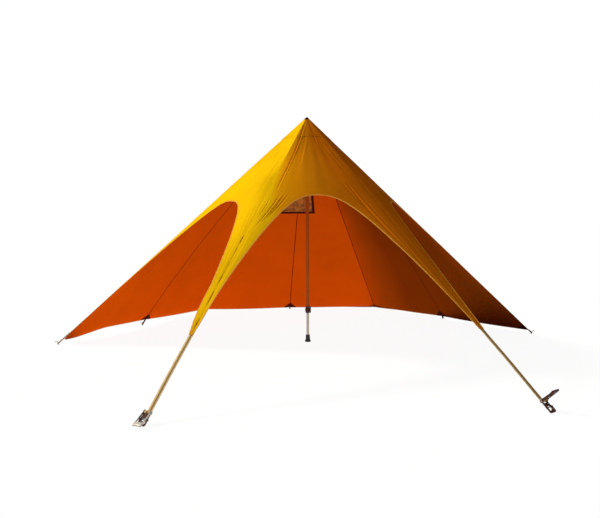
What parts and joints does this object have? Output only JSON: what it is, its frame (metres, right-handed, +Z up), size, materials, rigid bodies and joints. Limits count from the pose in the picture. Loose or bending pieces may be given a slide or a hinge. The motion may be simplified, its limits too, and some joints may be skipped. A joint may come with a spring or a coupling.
{
  "type": "star tent",
  "caption": "Pole tent with a star plan: one central pole, closed fabric walls behind, arched doorways in front, ratcheted leg straps and pegs.",
  "frame": {"origin": "on the ground under the centre of the pole's foot", "axes": "+Z up along the pole, -Y towards the front doorway, +X to the right as seen from the front"},
  "size_m": [5.9788, 5.3332, 2.9528],
  "materials": {
    "canopy_fabric": "matte",
    "edge_tape": "matte",
    "maroon_webbing": "matte",
    "vent_pane": "satin",
    "leg_webbing": "matte",
    "black_plastic": "matte",
    "foot_rubber": "matte",
    "bronze_paint": "satin",
    "pale_metal": "satin",
    "galvanised_steel": "satin",
    "dark_steel": "satin"
  },
  "bodies": {
    "tent": {"front_arch_panel": "canopy_fabric", "left_arch_panel": "canopy_fabric", "right_arch_panel": "canopy_fabric", "front_arch_tape": "edge_tape", "left_arch_tape": "edge_tape", "right_arch_tape": "edge_tape", "right_wall_first_gore": "canopy_fabric", "right_wall_second_gore": "canopy_fabric", "back_wall_first_gore": "canopy_fabric", "back_wall_second_gore": "canopy_fabric", "left_wall_first_gore": "canopy_fabric", "left_wall_second_gore": "canopy_fabric", "right_hem_patch": "maroon_webbing", "back_hem_patch": "maroon_webbing", "left_hem_patch": "maroon_webbing", "vent_window": "vent_pane", "vent_binding": "maroon_webbing", "peak_crown": "canopy_fabric", "pole_foot": "foot_rubber", "pole_lower_tube": "pale_metal", "pole_glide_bush": "black_plastic", "left_leg_strap": "leg_webbing", "left_ratchet_base": "galvanised_steel", "left_shackle": "galvanised_steel", "left_stake": "dark_steel", "right_leg_strap": "leg_webbing", "right_ratchet_base": "galvanised_steel", "right_shackle": "galvanised_steel", "right_stake": "dark_steel", "right_corner_loop": "maroon_webbing", "right_hem_loop": "maroon_webbing", "rear_right_corner_loop": "maroon_webbing", "back_hem_loop": "maroon_webbing", "rear_left_corner_loop": "maroon_webbing", "left_hem_loop": "maroon_webbing", "left_corner_loop": "maroon_webbing", "right_corner_peg": "dark_steel", "right_hem_peg": "dark_steel", "rear_right_corner_peg": "dark_steel", "back_hem_peg": "dark_steel", "rear_left_corner_peg": "dark_steel", "left_hem_peg": "dark_steel", "left_corner_peg": "dark_steel"},
    "pole_upper_section": {"pole_upper_tube": "bronze_paint", "pole_top_plug": "black_plastic", "peak_cup": "black_plastic", "clamp_collar": "black_plastic", "clamp_pin": "galvanised_steel"},
    "clamp_lever": {"clamp_lever": "black_plastic"},
    "left_spool": {"left_spool_shaft": "galvanised_steel", "left_wound_webbing": "leg_webbing"},
    "left_handle": {"left_ratchet_handle": "galvanised_steel"},
    "left_handle_pawl": {"left_handle_pawl": "dark_steel"},
    "left_base_pawl": {"left_base_pawl": "dark_steel"},
    "right_spool": {"right_spool_shaft": "galvanised_steel", "right_wound_webbing": "leg_webbing"},
    "right_handle": {"right_ratchet_handle": "galvanised_steel"},
    "right_handle_pawl": {"right_handle_pawl": "dark_steel"},
    "right_base_pawl": {"right_base_pawl": "dark_steel"}
  },
  "joints": [
    {"name": "pole_slide", "type": "slide", "parent": "tent", "child": "pole_upper_section", "axis": [0, 0, 1], "range_m": [-0.26, 0]},
    {"name": "clamp_lever_hinge", "type": "hinge", "parent": "pole_upper_section", "child": "clamp_lever", "pos_m": [0.0333, 0, 0.394], "axis": [0, 0, 1], "range_deg": [0, 110]},
    {"name": "left_spool_turn", "type": "hinge", "parent": "tent", "child": "left_spool", "pos_m": [-1.54142, -2.66982, 0.08404], "axis": [-0.866, 0.5, 0], "continuous": true},
    {"name": "left_handle_hinge", "type": "hinge", "parent": "tent", "child": "left_handle", "pos_m": [-1.54142, -2.66982, 0.08404], "axis": [-0.866, 0.5, 0], "range_deg": [0, 150]},
    {"name": "left_handle_pawl_slide", "type": "slide", "parent": "left_handle", "child": "left_handle_pawl", "axis": [-0.4509, -0.781, -0.4321], "range_m": [0, 0.006], "stiffness_N_per_m": 60, "springref_m": -0.01},
    {"name": "left_base_pawl_slide", "type": "slide", "parent": "tent", "child": "left_base_pawl", "axis": [0.3796, 0.6575, 0.6508], "range_m": [-0.005, 0], "stiffness_N_per_m": 60, "springref_m": 0.01},
    {"name": "right_spool_turn", "type": "hinge", "parent": "tent", "child": "right_spool", "pos_m": [1.55212, -2.76584, 0.08318], "axis": [-0.8721, -0.4894, 0], "continuous": true},
    {"name": "right_handle_hinge", "type": "hinge", "parent": "tent", "child": "right_handle", "pos_m": [1.55212, -2.76584, 0.08318], "axis": [-0.8721, -0.4894, 0], "range_deg": [-70, 80]},
    {"name": "right_handle_pawl_slide", "type": "slide", "parent": "right_handle", "child": "right_handle_pawl", "axis": [0.3449, -0.6146, 0.7095], "range_m": [0, 0.006], "stiffness_N_per_m": 60, "springref_m": -0.01},
    {"name": "right_base_pawl_slide", "type": "slide", "parent": "tent", "child": "right_base_pawl", "axis": [-0.376, 0.6699, 0.6402], "range_m": [-0.005, 0], "stiffness_N_per_m": 60, "springref_m": 0.01}
  ]
}
